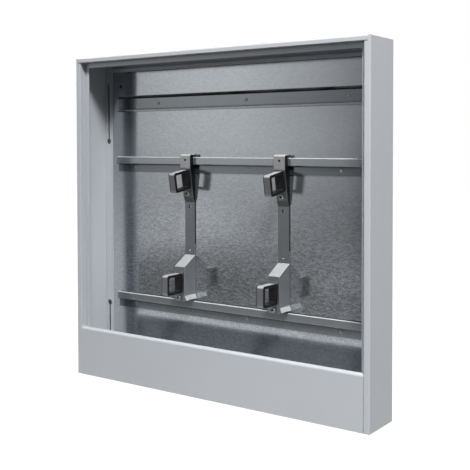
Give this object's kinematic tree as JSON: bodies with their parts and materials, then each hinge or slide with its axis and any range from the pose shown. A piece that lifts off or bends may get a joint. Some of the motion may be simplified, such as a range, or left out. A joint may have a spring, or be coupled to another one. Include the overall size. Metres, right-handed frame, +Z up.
{
  "type": "distribution cabinet",
  "caption": "Open-fronted sheet-steel distribution cabinet with galvanised back, mounting rails and sliding brackets whose rubber-lined clamps hold heating manifolds.",
  "frame": {"origin": "middle of the casing's footprint, on the plane of its bottom edges", "axes": "+X to the right seen from the open front, +Y from the open front to the wall, +Z up"},
  "size_m": [0.725, 0.096, 0.705],
  "materials": {
    "grey_paint": "satin powder coat",
    "galvanised_steel": "hot-dip galvanised with fine spangle",
    "rail_steel": "galvanised strip",
    "bracket_steel": "zinc-plated pressing, brighter on its upward faces",
    "strap_steel": "galvanised strip",
    "zinc_fastener": "zinc plated",
    "black_steel": "black oxide",
    "black_rubber": "matt black"
  },
  "bodies": {
    "casing": {"back_panel": "galvanised_steel", "left_side_panel": "grey_paint", "right_side_panel": "grey_paint", "top_panel": "grey_paint", "front_apron": "grey_paint", "apron_screws": "zinc_fastener", "controller_rail": "rail_steel", "upper_bracket_rail": "rail_steel", "lower_bracket_rail": "rail_steel", "rail_rivets": "zinc_fastener"},
    "left_bracket": {"left_manifold_bracket": "bracket_steel", "left_locking_screw": "black_steel", "left_clamp_screws": "zinc_fastener", "left_upper_clamp_strap": "strap_steel", "left_upper_clamp_liner": "black_rubber", "left_lower_clamp_strap": "strap_steel", "left_lower_clamp_liner": "black_rubber"},
    "right_bracket": {"right_manifold_bracket": "bracket_steel", "right_locking_screw": "black_steel", "right_clamp_screws": "zinc_fastener", "right_upper_clamp_strap": "strap_steel", "right_upper_clamp_liner": "black_rubber", "right_lower_clamp_strap": "strap_steel", "right_lower_clamp_liner": "black_rubber"}
  },
  "joints": [
    {"name": "left_bracket_slide", "type": "slide", "parent": "casing", "child": "left_bracket", "axis": [1, 0, 0], "range_m": [-0.18, 0.09]},
    {"name": "right_bracket_slide", "type": "slide", "parent": "casing", "child": "right_bracket", "axis": [1, 0, 0], "range_m": [-0.09, 0.165]}
  ]
}
